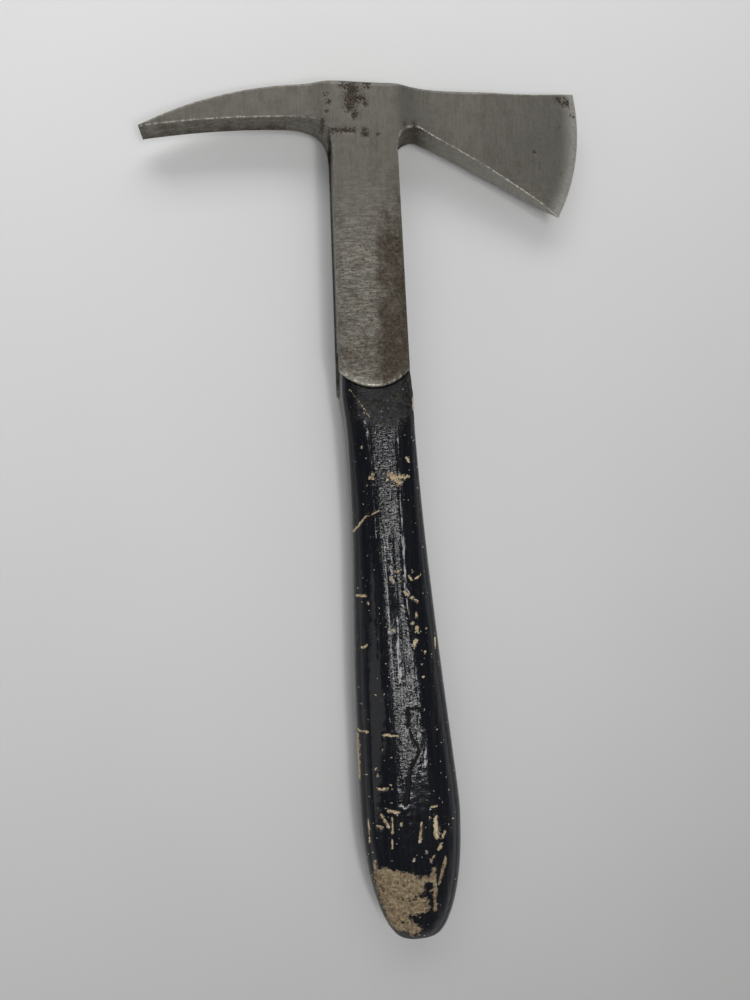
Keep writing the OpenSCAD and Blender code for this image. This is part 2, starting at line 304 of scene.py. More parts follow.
# Brown and dark stains on each side: x, y, reach across, reach along, strength
STAINS = (
    [(-4, 15, 7, 9, 0.4), (5, -6, 7, 6, 0.4), (19.5, 3.5, 1.5, 3, 0.9), (24, 3.8, 1.4, 3, 1),
     (38, 1.5, 4, 3, 0.55), (60, 21, 4, 4, 0.4), (103, 19, 4, 5, 0.6), (-28, 3, 9, 6, 0.35),
     (-60, 2, 7, 5, 0.8), (-85, 3, 8, 5, 0.6), (-40, 4, 9, 5, 0.5), (-100, 5, 5, 4, 0.5),
     (-34, 8, 14, 3, 0.3), (99, 2, 3, 8, 0.25), (74, -16, 12, 8, 0.25), (50, -8, 14, 5, 0.3)],
    [(3, -70, 12, 45, 0.6), (8, 12, 9, 7, 0.45), (50, 0, 24, 14, 0.3), (-60, 12, 22, 6, 0.35),
     (-6, -112, 8, 8, 0.5), (95, -18, 6, 8, 0.35)],
)
GRID = 0.6
RING_ANGLES = (0, 25, 50, 70, 90)


def head_marks(points):
    """Rust, tarnishing with painted shade on the front strap's right half, pitting, rims worn and partly a
    painted highlight, and ground bevel at each point of the head, from 0 to 1.
    """
    x, y, z = points.T
    rust, tarnish_and_painted_shade, rim = np.zeros((3, len(x)))
    for side, shown in enumerate((z > -2, z < 2)):
        for px, py, reach, depth in PITS[side]:
            near = np.exp(-((x - px) ** 2 + (y - py) ** 2) / reach ** 2)
            rust = np.maximum(rust, shown * near * min(1, 5 * depth))
        for px, py, across, along, strength in STAINS[side]:
            near = np.exp(-((x - px) / across) ** 2 - ((y - py) / along) ** 2)
            tarnish_and_painted_shade = np.maximum(tarnish_and_painted_shade, shown * near * strength)
        # The strap ends' rounded rims are lightened: worn, and partly a painted highlight where they face the
        # light.
        centre_y = -STRAP_L[side] + math.sqrt(STRAP_END_R ** 2 - np.ptp(STRAP_LOW_X) ** 2 / 4)
        to_rim = STRAP_END_R - np.hypot(x - sum(STRAP_LOW_X) / 2, y - centre_y)
        rim = np.maximum(rim, shown * (y < centre_y) * np.exp(-np.abs(to_rim) / 1.3))
    # The front strap turns brown along its right half and towards its end; the darker right half is also
    # painted shade on that side of the strap's crown.
    right = 1 / (1 + np.exp((strap_mid(y) + 3 - x) / 1.5))
    browned_and_painted_shade = np.clip((-6 - y) / 50, 0, 1) * (0.25 + 0.75 * right) + 0.3 * np.clip((-72 - y) / 30, 0, 1)
    tarnish_and_painted_shade = np.where((z > 0) & (np.abs(x) < 20), np.maximum(tarnish_and_painted_shade, browned_and_painted_shade), tarnish_and_painted_shade)
    pitted = np.clip((-12 - y) / 50, 0, 1)
    # The blade is ground brighter towards its edge
    to_edge = EDGE_R - np.hypot(x - EDGE_CENTRE[0], y - EDGE_CENTRE[1])
    ground = np.where(x > TAPER_X, np.clip(1.4 - to_edge / GROUND_W, 0, 1) ** 1.5, 0)
    return {"rust": rust, "tarnish_and_painted_shade": tarnish_and_painted_shade, "pitted": pitted, "rim": rim, "ground": ground}


def head_sheet(side):
    """Front (0) or rear (1) face: vertices, faces, worn arrises and the loop of its outer ring."""
    loop, radii, arris_wear_and_highlight = head_outline(side)
    normal = inward(loop)
    rings, heights = [], []
    for angle in np.radians(RING_ANGLES):
        ring = loop + normal * (radii * (1 - math.cos(angle)))[:, None]
        rings.append(ring)
        heights.append(head_height(*ring.T) - radii * (1 - math.sin(angle)))
    last = rings[-1]
    tree = kdtree.KDTree(len(last))
    for i, point in enumerate(last):
        tree.insert((*point, 0), i)
    tree.balance()
    lo, hi = last.min(axis=0), last.max(axis=0)
    inner = []
    for row, y in enumerate(np.arange(lo[1], hi[1], GRID * 0.866)):
        for x in np.arange(lo[0] + GRID / 2 * (row % 2), hi[0], GRID):
            co, i, gap = tree.find((x, y, 0))
            if (x - co.x) * normal[i][0] + (y - co.y) * normal[i][1] > 0.45 * GRID:
                inner.append((x, y))
    inner = np.array(inner)
    flat = np.vstack([last, inner])
    count = len(loop)
    fence = [(i, (i + 1) % count) for i in range(count)]
    triangles = delaunay_2d_cdt([Vector(p) for p in flat], fence, [], 1, 1e-6, False)[2]
    # The triangulation fills its convex hull, so what lies outside the outline is left out
    triangles = np.array(triangles)
    middles = flat[triangles].mean(axis=1)
    on_rim = np.nonzero((triangles < count).all(axis=1))[0]
    outside = on_rim[depth_inside(*middles[on_rim].T, last) < 0]
    triangles = np.delete(triangles, outside, axis=0)

    xy = np.vstack(rings + [inner])
    z = np.concatenate(heights + [head_height(*inner.T)])
    weight = np.concatenate([np.full(count, k / (len(rings) - 1)) for k in range(len(rings))]
                            + [np.ones(len(inner))])
    z = z + weight * np.array([head_relief(x, y, side) for x, y in xy])
    # Arris brightness across the rounding rings: worn, and partly a painted highlight.
    arris = np.concatenate([arris_wear_and_highlight * share for share in (0.6, 1, 1, 0.9, 0.5)] + [np.zeros(len(inner))])
    faces = []
    for k in range(len(rings) - 1):
        base = k * count
        for i in range(count):
            j = (i + 1) % count
            faces.append((base + i, base + j, base + count + j, base + count + i))
    base = (len(rings) - 1) * count
    faces += [tuple(base + v for v in triangle[::-1]) for triangle in triangles.tolist()]
    if side:
        z = -z
        faces = [face[::-1] for face in faces]
    return np.column_stack([xy, z]), faces, arris, loop


def make_head(material):
    """One forging: two faces joined by walls, with the eye and the gap between the straps open."""
    front, front_faces, front_arris, front_loop = head_sheet(0)
    rear, rear_faces, rear_arris, rear_loop = head_sheet(1)
    verts = [tuple(v) for v in front] + [tuple(v) for v in rear]
    faces = list(front_faces) + [tuple(v + len(front) for v in face) for face in rear_faces]
    arris = list(front_arris) + list(rear_arris)

    def add(point):
        verts.append(tuple(point))
        arris.append(0)
        return len(verts) - 1

    # Both loops run clockwise from the pick's tip. The strap is what lies below the slot's top.
    def strap_span(loop):
        low = np.nonzero(loop[:, 1] < SLOT_Y)[0]
        low = low[np.abs(loop[low, 0]) < 20]
        return low[0] - 1, low[-1] + 1

    f0, f1 = strap_span(front_loop)
    r0, r1 = strap_span(rear_loop)
    head_ids = list(range(f1, len(front_loop))) + list(range(0, f0 + 1))
    rear_of = {i: i if i <= f0 else i - f1 + r1 for i in head_ids}

    # Wall columns round the head, from the front arris to the rear one
    columns = {}
    for i in head_ids:
        x, y = front_loop[i]
        top, low = front[i][2], rear[rear_of[i]][2]
        if abs(x) < CHEEK_X + 0.1:
            levels = EYE_LEVELS
        else:
            levels = [0.93 * top, 0.5 * top, 0, 0.5 * low, 0.93 * low]
        column = [i] + [add((x, y, z)) for z in levels] + [rear_of[i] + len(front)]
        columns[i] = column
    for a, b in zip(head_ids[:-1], head_ids[1:]):
        xa, xb = front_loop[a][0], front_loop[b][0]
        over_eye = front_loop[a][1] > 15 and max(abs(xa), abs(xb)) < EYE_HALF + 0.01
        for k in range(6):
            if over_eye and 1 <= k <= 4:
                continue
            faces.append((columns[a][k], columns[a][k + 1], columns[b][k + 1], columns[b][k]))

    # Strap walls down to the wood, and the flat inner face of each strap, up through the eye
    eye_top = [i for i in head_ids if front_loop[i][1] > 15 and abs(front_loop[i][0]) < EYE_HALF + 0.01]
    right_y, left_y = front_loop[f0][1], front_loop[f1][1]
    right_in = [add((EYE_HALF, right_y, z)) for z in EYE_LEVELS]
    left_in = [add((-EYE_HALF, left_y, z)) for z in EYE_LEVELS]
    for side, (loop, s0, s1, sheet, level) in enumerate((
        (front_loop, f0, f1, 0, 1), (rear_loop, r0, r1, len(front), 5),
    )):
        z = INNER_Z if side == 0 else -INNER_Z
        ids = list(range(s0, s1 + 1))
        rim = [columns[f0][level]] + [add((*loop[i], z)) for i in ids[1:-1]] + [columns[f1][level]]
        for a, b, ra, rb in zip(ids[:-1], ids[1:], rim[:-1], rim[1:]):
            face = (a + sheet, ra, rb, b + sheet)
            faces.append(face if side == 0 else face[::-1])
        level_in = 0 if side == 0 else 4
        inner = rim + [left_in[level_in]] + [columns[i][level] for i in eye_top] + [right_in[level_in]]
        faces.append(tuple(inner) if side == 0 else tuple(inner[::-1]))

    # The eye's two side walls, and the shoulders between them and the outside
    for column, inside, outside, flip in (
        (columns[eye_top[-1]], right_in, columns[f0], False),
        (columns[eye_top[0]], left_in, columns[f1], True),
    ):
        for k in range(4):
            wall = (column[k + 1], column[k + 2], inside[k + 1], inside[k])
            shoulder = (inside[k], inside[k + 1], outside[k + 2], outside[k + 1])
            for face in (wall, shoulder):
                faces.append(face[::-1] if flip else face)
    marks = head_marks(np.array(verts))
    walls = len(front) + len(rear)
    marks["pitted"][walls:] = 0.6
    x, y, z = np.array(verts[walls:]).T
    # Painted light: the walls under the blade are lightened through the ground finish.
    painted_wall_light = 0.5 * np.clip((x - 26) / 12, 0, 1) * (y < 15)
    marks["ground"][walls:] = np.maximum(marks["ground"][walls:], painted_wall_light)
    # Walls darken towards the rear face, next to the table, as painted shade; the dark patch in the blade's
    # hollow is stain and painted shade, and the one under the pick is oil stain.
    oil_stain_and_painted_shade = 0.5 * np.clip((-1 - z) / 6, 0, 1) + 0.9 * np.exp(-((x - 24) / 7) ** 2) * (y < 15)
    oil_stain_and_painted_shade += 0.5 * (x < -35) * (y < 15)
    marks["tarnish_and_painted_shade"][walls:] = np.maximum(marks["tarnish_and_painted_shade"][walls:], np.minimum(oil_stain_and_painted_shade, 1))
    arris = np.maximum(arris, marks.pop("rim"))
    return make_object("forged_head", verts, faces, material, {"arris": arris, **marks})


# ---------------------------------------------------------------- haft: sections

SWELL_X = 7.0
SWELL_Y = BUTT_Y + 61.0
SWELL_HALF = (24.0, (HAFT_HI.z - HAFT_LO.z) / 2)
BUTT_HALF = (9.0, 7.5)
BUTT_LEAN = 1.0
BUTT_ROUND = (2.2, 4.5)
END_ROUND = 0.6
BUTT_STEPS = 7
SWELL_POWER = 2.5


def haft_stations():
    """Rows from under the straps to the butt: y, centre x, half width, half thickness, squareness."""
    rows = [
        (-100, 0, 15.5, 12, 6), (-120, 0.5, 17, 12, 6), (-140, 1.5, 16.5, 12, 4.5),
        (-185, 3, 17.5, 12, 3), (-250, 4.5, 21, 12.5, SWELL_POWER),
        (-290, 6, 23, SWELL_HALF[1], SWELL_POWER), (SWELL_Y, SWELL_X, *SWELL_HALF, SWELL_POWER),
    ]
    for i in range(1, BUTT_STEPS + 1):
        u = math.sin(math.pi / 2 * i / BUTT_STEPS)
        half_w, half_t = (
            end + (swell - end) * (1 - u ** power) ** END_ROUND
            for swell, end, power in zip(SWELL_HALF, BUTT_HALF, BUTT_ROUND)
        )
        rows.append((SWELL_Y + (BUTT_Y - SWELL_Y) * u, SWELL_X + BUTT_LEAN * u, half_w, half_t, SWELL_POWER))
    return np.array(rows)


STATIONS = haft_stations()
TONGUE_HALF_T = 9.4
TONGUE_INSET = 0.6
TONGUE_TOP = 21.6
SEAT_STEP = 3.6
RING_POINTS = 176
GRIP_STEP = 0.7
TONGUE_STEP = 2.0


def grip_sections():
    """Evenly spaced sections of the grip, on smooth curves through the stations."""
    count = len(STATIONS)
    rows = []
    for k in np.linspace(0, count - 1, 40 * (count - 1) + 1):
        i = min(int(k), count - 2)
        t = k - i
        a, b, c, d = (STATIONS[min(max(i + j, 0), count - 1)] for j in (-1, 0, 1, 2))
        rows.append(b + 0.5 * t * (c - a + t * (2 * a - 5 * b + 4 * c - d + t * (3 * (b - c) + d - a))))
    rows = np.array(rows)
    rows[:, 3] = np.minimum(rows[:, 3], STATIONS[:, 3].max())
    along = np.concatenate([[0], np.cumsum(np.hypot(*np.diff(rows[:, [0, 2]], axis=0).T))])
    at = np.linspace(0, along[-1], round(along[-1] / GRIP_STEP))
    return np.column_stack([np.interp(at, along, rows[:, i]) for i in range(5)])


def tongue_sections():
    """Flat tongue through the eye and between the straps."""
    rows = []
    for y in np.arange(TONGUE_TOP, STATIONS[0][0] + 1, -TONGUE_STEP):
        if y > SLOT_Y:
            rows.append([y, 0, EYE_HALF - 0.1, TONGUE_HALF_T, 16])
        else:
            down = -y / STRAP_L[0]
            half = (1 - down) * np.ptp(STRAP_TOP_X) / 2 + down * np.ptp(STRAP_LOW_X) / 2
            rows.append([y, strap_mid(y), half - TONGUE_INSET, TONGUE_HALF_T, 16])
    return np.array(rows)


def oval(centre, half_w, half_t, power):
    """Ring of evenly spaced points round an oval, from the rear side, and its outward normals."""
    a = np.linspace(0, 2 * math.pi, 1441) - math.pi / 2
    unit = [np.sign(v) * np.abs(v) ** (2 / power) for v in (np.cos(a), np.sin(a))]
    dense = np.column_stack([half_w * unit[0], half_t * unit[1]])
    along = np.concatenate([[0], np.cumsum(np.hypot(*np.diff(dense, axis=0).T))])
    at = np.linspace(0, along[-1], RING_POINTS + 1)[:-1]
    ring = np.column_stack([np.interp(at, along, dense[:, i]) for i in range(2)])
    grade = [np.sign(v) * np.abs(v / h) ** (power - 1) / h for v, h in zip(ring.T, (half_w, half_t))]
    normal = np.column_stack(grade)
    normal /= np.hypot(*normal.T)[:, None]
    return ring + np.array([centre, 0]), normal


# ---------------------------------------------------------------- haft: chips, scratches and cracks

# The larger chips on the front: start x, y, end x, y, half width
CHIPS = [
    (4, -159, 8, -162, 2), (8, -160, 12, -160, 1), (-6, -160, -4, -158, 0.5),
    (12, -151, 13, -153, 0.5), (17, -123, 17, -129, 0.5), (-15, -179, -15, -185, 0.5),
    (2, -206, 3, -208, 0.5), (10, -206, 12, -208, 0.5), (12, -208, 16, -206, 0.5),
    (-14, -214, -10, -214, 0.5), (8, -213, 9, -215, 0.8), (11, -216, 14, -218, 0.6),
    (13, -223, 13, -225, 0.8), (10, -228, 11, -228, 0.6), (13, -230, 13, -232, 1.1),
    (12, -236, 11, -238, 1), (-13, -238, -11, -237, 0.6), (22, -236, 22, -241, 0.4),
    (-18, -277, -12, -277, 0.4), (-5, -278, 1, -279, 0.5), (-17, -279, -17, -300, 0.7),
    (-9, -303, -5, -303, 0.7), (-5, -313, 0, -314, 0.7), (-3, -314, -4, -331, 0.3),
    (-8, -315, -5, -321, 0.7), (-10, -320, -8, -321, 0.8), (-14, -317, -14, -329, 0.3),
    (10, -320, 9, -328, 0.6), (15, -313, 18, -313, 0.4), (17, -318, 17, -327, 1.4),
    (21, -326, 20, -328, 0.8), (19, -331, 18, -333, 0.8), (14, -337, 14, -338, 0.6),
    (-12, -337, -12, -341, 0.6), (15, -342, 15, -361, 1.1), (21, -338, 17, -349, 0.9),
]
# Long scratches on the front: points along each, and half width
SCRATCHES = [([(-14, -184), (-9, -178), (-2, -175)], 0.4), ([(-14, -117), (-4, -132)], 0.2)]
# Wood laid bare at the butt on each side, as broad strokes: start x, y, end x, y, half width
BARE_BUTT = (
    [(-8, -345, -2, -366, 5), (-3, -347, 4, -349, 6), (0, -358, 8, -358, 4), (1, -366, 5, -370, 3),
     (6, -346, 14, -346, 1.5)],
    [(6, -352, 14, -355, 5), (10, -360, 7, -364, 5)],
)
# Drying crack in the paint
CRACK = [(14, -268), (6, -267), (7, -278), (11, -287), (6, -295), (3, -311)]


def stroke(gap, half_width):
    """Strength of a mark: 1 on its middle line, one half at its edge and 0 twice as far out."""
    return np.clip(1 - gap / (2 * half_width), 0, 1)


def chip_field(points):
    """How bare the wood is at each point, from 0 to 1, with one half at a chip's edge."""
    x, y, z = points.T
    sides = []
    for chips, strokes in zip((CHIPS + scattered_chips(45, 11, 0.4), scattered_chips(70, 5, 1)), BARE_BUTT):
        bare = np.zeros(len(x))
        for x0, y0, x1, y1, half_width in chips:
            gap = segment_gap(x, y, (x0, y0), (x1, y1))
            bare = np.maximum(bare, stroke(gap, 0.7 * half_width + 0.1))
        for x0, y0, x1, y1, half_width in strokes:
            gap = segment_gap(x, y, (x0, y0), (x1, y1))
            bare = np.maximum(bare, np.clip(0.5 + (half_width - gap) / 3, 0, 1))
        sides.append(bare)
    front, rear = sides
    for path, half_width in SCRATCHES:
        front = np.maximum(front, stroke(path_gap(x, y, path), half_width))
    return np.where(z > 0, front, rear)


def scattered_chips(count, seed, size):
    """Chips strewn over one side, more of them towards the butt, with the largest scaled by size."""
    chance = np.random.default_rng(seed)
    chips = []
    for _ in range(count):
        y = -130 - 235 * chance.random() ** 0.6
        x = 6 + 20 * (chance.random() - 0.5) * 1.7
        lean, reach = chance.random() * math.pi, size * (0.3 + 3.2 * chance.random() ** 2)
        half_width = 0.3 + 0.7 * size * chance.random() ** 2
        chips.append((x, y, x + reach * math.cos(lean), y + reach * math.sin(lean), half_width))
    return chips


CHIP_DEPTH = 0.16
CRACK_DEPTH = 0.3
CRACK_HALF_W = 0.5
CHIPS_BELOW_Y = -116
# The uneven paint is set in by this much, to stay inside the CAD haft
PAINT_INSET = 0.16


def crazed_paint(x, y, z):
    """How finely cracked the paint is: a worn band along the grip's crown, rubbed smooth midway, which also
    places the grey scuffs that are partly a painted highlight.
    """
    left = np.interp(y, [-300, -140], [0, -4])
    right = np.interp(y, [-300, -285, -255, -215], [9, 13, 13, 7])
    rubbed = np.interp(y, [-265, -255, -190, -180], [0, 1, 1, 0])
    inner = np.interp(y, [-260, -185], [7, 4])
    edge = np.minimum(x - left, right - x)
    band = np.clip(0.5 + edge / 1.5, 0, 1)
    hollow = rubbed * np.clip((x - left - 1.2) / 1, 0, 1) * np.clip((inner - x) / 1, 0, 1)
    ends = np.clip((y + 300) / 6, 0, 1) * np.clip((-131 - y) / 9, 0, 1)
    front = band * (1 - 0.85 * hollow) * ends
    rear = 0.6 * np.clip(1.4 - np.abs(x - 3) / 8, 0, 1)
    return np.where(z > 0, front, rear)


# ---------------------------------------------------------------- haft: one lofted piece

def strap_seat(x, y, z):
    """Wood trimmed to lie under the straps, with a soft step where each strap ends."""
    half = (STRAP_LOW_X[1] - STRAP_LOW_X[0]) / 2
    sweep = math.asin(half / STRAP_END_R)
    for side, sign in ((0, 1), (1, -1)):
        centre_y = -STRAP_L[side] + STRAP_END_R * math.cos(sweep)
        past = np.hypot(x - sum(STRAP_LOW_X) / 2, np.minimum(y - centre_y, 0)) - STRAP_END_R
        past = np.where(y > -STRAP_L[side], -1, past)
        limit = TONGUE_HALF_T + SEAT_STEP * np.clip((past - 0.15) / 0.9, 0, 1) ** 0.7
        z = np.where(sign * z > limit, sign * limit, z)
    return z


def make_haft(material):
    """The whole haft: tongue through the eye, grip, and the chipped and crazed paint on it."""
    sections = np.vstack([tongue_sections(), grip_sections()])
    rings, normals = zip(*[oval(*row[1:]) for row in sections])
    count = RING_POINTS
    points = np.vstack([np.column_stack([r[:, 0], np.full(count, row[0]), r[:, 1]])
                        for r, row in zip(rings, sections)])
    outward = np.vstack([np.column_stack([n[:, 0], np.zeros(count), n[:, 1]]) for n in normals])
    points[:, 2] = strap_seat(*points.T)

    # Both ends close with shrinking rings and a middle point
    last = len(sections) - 1
    faces = [
        (k * count + i, k * count + (i + 1) % count, (k + 1) * count + (i + 1) % count, (k + 1) * count + i)
        for k in range(last) for i in range(count)
    ]
    for base, sign in ((0, 1), (last * count, -1)):
        rim = points[base:base + count]
        middle = rim.mean(axis=0)
        ids = np.arange(base, base + count)
        for share in (0.85, 0.7, 0.55, 0.4, 0.25, 0.1):
            ring = middle + (rim - middle) * share
            new = np.arange(len(points), len(points) + count)
            points = np.vstack([points, ring])
            outward = np.vstack([outward, np.tile([0, sign, 0], (count, 1))])
            for i in range(count):
                j = (i + 1) % count
                face = (ids[i], new[i], new[j], ids[j])
                faces.append(face if sign > 0 else face[::-1])
            ids = new
        points = np.vstack([points, middle])
        outward = np.vstack([outward, [0, sign, 0]])
        centre = len(points) - 1
        for i in range(count):
            face = (ids[i], centre, ids[(i + 1) % count])
            faces.append(face if sign > 0 else face[::-1])

    x, y, z = points.T
    chip = chip_field(points) * (y < CHIPS_BELOW_Y)
    ragged = np.array([0.55 * fractal(*p, 1.5, 3, 4.0) if c > 0.05 else 0 for p, c in zip(points, chip)])
    chip = np.where(y > TONGUE_TOP - 0.1, 1, np.clip(chip + ragged, 0, 1))
    wander = np.array([fractal(px, py, 0, 5, 2, 8.0) if pz > 0 else 0 for px, py, pz in points])
    crack = np.where(z > 0, stroke(path_gap(x + wander, y + wander, CRACK), CRACK_HALF_W), 0)
    grip = np.clip((-104 - y) / 12, 0, 1)
    lift = np.array([
        0.09 * fractal(px, py / 5, pz, 9, 2, 2.0) + 0.05 * fractal(px, py / 1.6, pz, 2.2, 2, 5.0)
        for px, py, pz in points
    ])
    bare = np.clip((chip - 0.35) / 0.3, 0, 1)
    lift = grip * lift - PAINT_INSET - CHIP_DEPTH * bare - CRACK_DEPTH * crack
    at_butt = y < BUTT_Y + 0.01
    lift = np.where(at_butt | (y > SLOT_Y), np.minimum(lift, 0), lift)
    points = points + outward * (lift * np.clip(grip + 0.3, 0, 1))[:, None]
    marks = {"chip": chip, "crack": crack, "crazed": crazed_paint(x, y, z)}
    return make_object("painted_haft", points, faces, material, marks)


# ---------------------------------------------------------------- rivets

def make_rivet(number, material):
    """Shank and two ground-flush, slightly domed heads, turned about Z."""
    top = HALF_T + 0.03
    shank_r = 2.1
    profile = [(0, top), (1.4, top - 0.005), (RIVET_R - 0.25, top - 0.02), (RIVET_R, top - 0.1),
               (RIVET_R, top - 0.5), (shank_r, top - 1), (shank_r, 0)]
    profile += [(r, -z) for r, z in profile[-2::-1]]
    cx, cy = RIVETS[number]
    steps = 64
    points = [(cx, cy, profile[0][1])]
    for r, z in profile[1:-1]:
        for i in range(steps):
            a = 2 * math.pi * i / steps
            points.append((cx + r * math.cos(a), cy + r * math.sin(a), z))
    points.append((cx, cy, profile[-1][1]))
    faces = [(0, 1 + i, 1 + (i + 1) % steps) for i in range(steps)]
    rows = len(profile) - 2
    for k in range(rows - 1):
        for i in range(steps):
            a, b = 1 + k * steps + i, 1 + k * steps + (i + 1) % steps
            faces.append((a, a + steps, b + steps, b))
    last, low = len(points) - 1, 1 + (rows - 1) * steps
    faces += [(last, low + (i + 1) % steps, low + i) for i in range(steps)]
    return make_object(("upper", "middle", "lower")[number] + "_flush_rivet", points, faces, material)


# ---------------------------------------------------------------- materials

class Shader:
    """Short calls that build one material's nodes. Places are in millimetres about the root."""

    def __init__(self, name):
        self.material = bpy.data.materials.new(name)
        self.material.use_nodes = True
        self.tree = self.material.node_tree
        self.surface = self.tree.nodes["Principled BSDF"]
        coords = self.tree.nodes.new("ShaderNodeTexCoord")
        self.place = self.node("ShaderNodeMapping", Vector=coords.outputs["Object"])
        self.place.node.inputs["Scale"].default_value = (1 / MM, 1 / MM, 1 / MM)
        self.place.node.inputs["Location"].default_value = -ROOT

    def node(self, kind, output=0, settings=(), **inputs):
        """A new node with its settings and inputs filled in, as one of its outputs."""
        made = self.tree.nodes.new(kind)
        for key, value in dict(settings).items():
            setattr(made, key, value)
        for key, value in inputs.items():
            self.put(made.inputs[key.replace("_", " ")], value)
        return made.outputs[output]

    def put(self, socket, value):
        """A value set on a socket, or an output linked to it."""
        if isinstance(value, bpy.types.NodeSocket):
            self.tree.links.new(value, socket)
        else:
            socket.default_value = value

    def math(self, operation, *values, clamp=False):
        """One arithmetic step on numbers or outputs."""
        made = self.tree.nodes.new("ShaderNodeMath")
        made.operation = operation
        made.use_clamp = clamp
        for socket, value in zip(made.inputs, values):
            self.put(socket, value)
        return made.outputs[0]

    def stretched(self, x, y, z):
        """Place with each axis scaled, so that noise on it is drawn out."""
        return self.node("ShaderNodeMapping", Vector=self.place, Scale=(x, y, z))

    def noise(self, scale, detail=3.0, rough=0.55, place=None):
        """Cloudy noise, with scale in cycles per millimetre."""
        return self.node("ShaderNodeTexNoise", Vector=place or self.place, Scale=scale, Detail=detail,
                         Roughness=rough)

    def value(self, name):
        """A value stored on the mesh's vertices."""
        return self.node("ShaderNodeAttribute", output=2, settings={"attribute_name": name})

    def ramp(self, value, low, high, to=(0.0, 1.0)):
        """value from low to high turned smoothly into a number between the two of to."""
        return self.node("ShaderNodeMapRange", settings={"interpolation_type": "SMOOTHSTEP"}, Value=value,
                         From_Min=low, From_Max=high, To_Min=to[0], To_Max=to[1])

    def mix(self, share, a, b):
        """Colour a turned into colour b by a share from 0 to 1."""
        made = self.tree.nodes.new("ShaderNodeMix")
        made.data_type = "RGBA"
        for name, value in (("Factor_Float", share), ("A_Color", a), ("B_Color", b)):
            self.put(next(s for s in made.inputs if s.identifier == name), value)
        return next(s for s in made.outputs if s.identifier == "Result_Color")

    def bump(self, height, distance, under=None):
        """Relief that follows height, up to a distance in millimetres, on top of the relief in under."""
        made = self.tree.nodes.new("ShaderNodeBump")
        made.inputs["Distance"].default_value = distance * MM
        self.put(made.inputs["Height"], height)
        if under:
            self.put(made.inputs["Normal"], under)
        return made.outputs[0]

    def surface_is(self, **inputs):
        """Fills in the surface's inputs and gives back the finished material."""
        for key, value in inputs.items():
            self.put(self.surface.inputs[key.replace("_", " ")], value)
        return self.material


def steel_tone(value, warm=0.05):
    """Grey with a little more red than blue."""
    return (value * (1 + warm), value, value * (1 - 2.2 * warm), 1)


def forged_steel():
    """Bare forged steel, brushed and turned brown in places, with rust in its pits and bright arrises that
    are worn and partly a painted highlight; the brown also carries painted shade, and the ground finish
    carries painted light on some walls.
    """
    s = Shader("forged_steel")
    brushed_up = s.noise(1.0, 3, 0.6, s.stretched(1.4, 0.08, 1.4))
    brushed_over = s.noise(1.0, 4, 0.7, s.stretched(0.22, 1.1, 1.1))
    mottle = s.noise(0.16, 4, 0.6)
    fine = s.noise(0.75, 4, 0.7)
    pitted = s.value("pitted")
    tone = s.mix(s.ramp(mottle, 0.35, 0.68), steel_tone(0.155, 0.06), steel_tone(0.122, 0.07))
    tone = s.mix(s.ramp(brushed_up, 0.35, 0.7), tone, steel_tone(0.165, 0.06))
    tone = s.mix(s.math("MULTIPLY", s.ramp(fine, 0.52, 0.66), 0.35), tone, steel_tone(0.08, 0.08))
    # Along the straps the finish is coarser, with short dark and bright marks across them
    across = s.ramp(brushed_over, 0.42, 0.62)
    tone = s.mix(s.math("MULTIPLY", across, s.math("MULTIPLY", pitted, 0.6)), tone, steel_tone(0.38, 0.07))
    # This brown also carries painted shade on the head's walls towards the rear face and on the front strap's
    # right half.
    blotch = s.noise(0.2, 6, 0.75, s.stretched(1.0, 0.7, 1.0))
    brown = s.ramp(s.math("MULTIPLY_ADD", blotch, 2.2, s.value("tarnish_and_painted_shade")), 1.2, 2.25, (0.0, 0.93))
    brown_spots = s.ramp(s.noise(0.7, 4, 0.75), 0.4, 0.62)
    brown_tone = s.mix(brown_spots, (0.036, 0.026, 0.018, 1), (0.092, 0.074, 0.053, 1))
    tone = s.mix(brown, tone, brown_tone)
    fleck = s.math("MULTIPLY", s.ramp(s.noise(0.9, 3, 0.7, s.stretched(0.8, 1.4, 1.0)), 0.52, 0.6), pitted)
    tone = s.mix(s.math("MULTIPLY", fleck, 0.7), tone, (0.06, 0.047, 0.037, 1))
    # Arrises are lightened: worn, and partly a painted highlight along the edges.
    worn = s.math("MULTIPLY", s.value("arris"), s.ramp(s.noise(0.6, 4, 0.8), 0.46, 0.56, (0.15, 1.0)))
    worn = s.math("MULTIPLY", worn, s.math("MULTIPLY_ADD", brown, -0.7, 1.0))
    tone = s.mix(s.math("MULTIPLY", worn, 0.85), tone, steel_tone(0.85, 0.05))
    # The ground finish also carries painted light on the walls under the blade.
    ground = s.math("MULTIPLY", s.value("ground"), s.ramp(fine, 0.3, 0.7, (0.5, 0.8)))
    tone = s.mix(ground, tone, steel_tone(0.5, 0.04))
    rust = s.math("MULTIPLY", s.value("rust"), 1.3)
    rust = s.math("MULTIPLY_ADD", s.noise(0.9, 4, 0.75), 5.0, rust)
    rust = s.math("MULTIPLY", s.ramp(rust, 3.05, 3.3), s.ramp(s.value("rust"), 0.08, 0.2))
    rust_spots = s.ramp(s.noise(1.3, 2, 0.6), 0.42, 0.6)
    rust_tone = s.mix(rust_spots, (0.012, 0.009, 0.007, 1), (0.07, 0.045, 0.025, 1))
    tone = s.mix(rust, tone, rust_tone)
    rough = s.math("MULTIPLY_ADD", brown, 0.1, s.ramp(mottle, 0.3, 0.7, (0.44, 0.52)))
    rough = s.math("MULTIPLY_ADD", rust, 0.3, rough)
    rough = s.math("MULTIPLY_ADD", worn, -0.2, rough)
    metal = s.math("MULTIPLY_ADD", rust, -0.75, 0.85)
    lines = s.bump(brushed_up, 0.03)
    lines = s.bump(s.math("MULTIPLY", brushed_over, pitted), 0.05, under=lines)
    pits = s.math("MULTIPLY_ADD", s.math("ADD", rust, fleck), -0.9, fine)
    lines = s.bump(pits, 0.05, under=lines)
    return s.surface_is(Base_Color=tone, Metallic=metal, Roughness=rough, Normal=lines)


